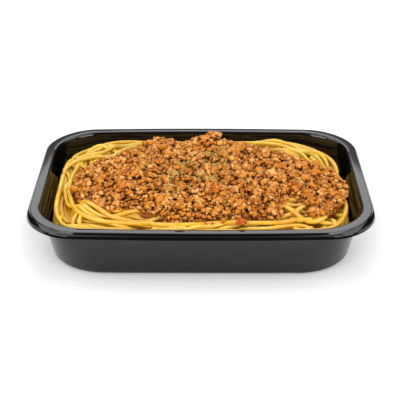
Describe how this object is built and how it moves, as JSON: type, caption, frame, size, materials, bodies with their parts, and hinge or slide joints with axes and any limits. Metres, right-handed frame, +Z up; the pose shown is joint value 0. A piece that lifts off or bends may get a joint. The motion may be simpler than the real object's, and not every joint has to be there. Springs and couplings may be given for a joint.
{
  "type": "pasta bolognese in a tray",
  "caption": "Ready meal of spaghetti under a heap of minced meat sauce with dried herbs, in a shallow black plastic tray with a flat flange and a turned-down lip.",
  "frame": {"origin": "middle of the tray's base, on the surface it stands on", "axes": "+X along the tray's long side, -Y towards the front side where the spaghetti reaches the rim, +Z up"},
  "size_m": [0.2168, 0.1536, 0.0515],
  "materials": {
    "black_plastic": "black formed plastic, satin to glossy",
    "pasta": "moist cooked pasta with a soft shine",
    "meat_sauce": "crumbly browned mince with an oily shine",
    "herbs": "dry herb flakes"
  },
  "bodies": {
    "root": {"tray": "black_plastic", "spaghetti": "pasta", "bolognese": "meat_sauce", "stray_mince": "meat_sauce"}
  },
  "joints": []
}
